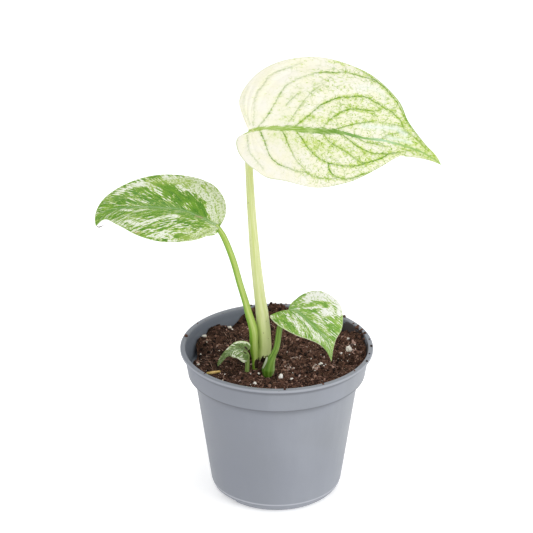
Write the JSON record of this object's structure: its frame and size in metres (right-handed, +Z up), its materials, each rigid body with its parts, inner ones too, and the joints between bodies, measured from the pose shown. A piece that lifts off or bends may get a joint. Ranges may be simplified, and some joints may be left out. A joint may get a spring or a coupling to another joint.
{
  "type": "potted variegated monstera",
  "caption": "Young variegated monstera in a round grey nursery pot: heart-shaped cream and green leaves on slender stalks above dark potting soil.",
  "frame": {"origin": "centre of the pot's underside, on the plane that the pot stands on", "axes": "+Z up along the pot's axis, -Y towards the side that the leaves face, +X to the right seen from there"},
  "size_m": [0.2091, 0.12, 0.282],
  "materials": {
    "pot_plastic": "satin grey moulded plastic",
    "soil": "moist fibrous peat, matt",
    "root": "pale root skin, matt",
    "stalk_pale": "pale yellow-green plant tissue, satin",
    "stalk_green": "green plant tissue, satin",
    "leaf_cream": "cream leaf with green veins, satin",
    "leaf_mottled": "green leaf streaked with white, satin",
    "leaf_grey_green": "grey-green leaf with a pale edge, satin",
    "perlite": "white porous grain, matt",
    "bark": "light brown bark chip, matt",
    "straw": "dry yellow-brown straw, matt"
  },
  "bodies": {
    "root": {"pot": "pot_plastic", "potting_soil": "soil", "rootstock": "root", "stalk_large": "stalk_pale", "stalk_left": "stalk_green", "stalk_right": "stalk_green", "stalk_low": "stalk_green", "blade_large": "leaf_cream", "blade_left": "leaf_mottled", "blade_right": "leaf_mottled", "blade_low": "leaf_grey_green", "perlite_01": "perlite", "perlite_02": "perlite", "perlite_03": "perlite", "perlite_04": "perlite", "perlite_05": "perlite", "perlite_06": "perlite", "perlite_07": "perlite", "bark_chip_01": "bark", "bark_chip_02": "bark", "straw_bit": "straw"}
  },
  "joints": []
}
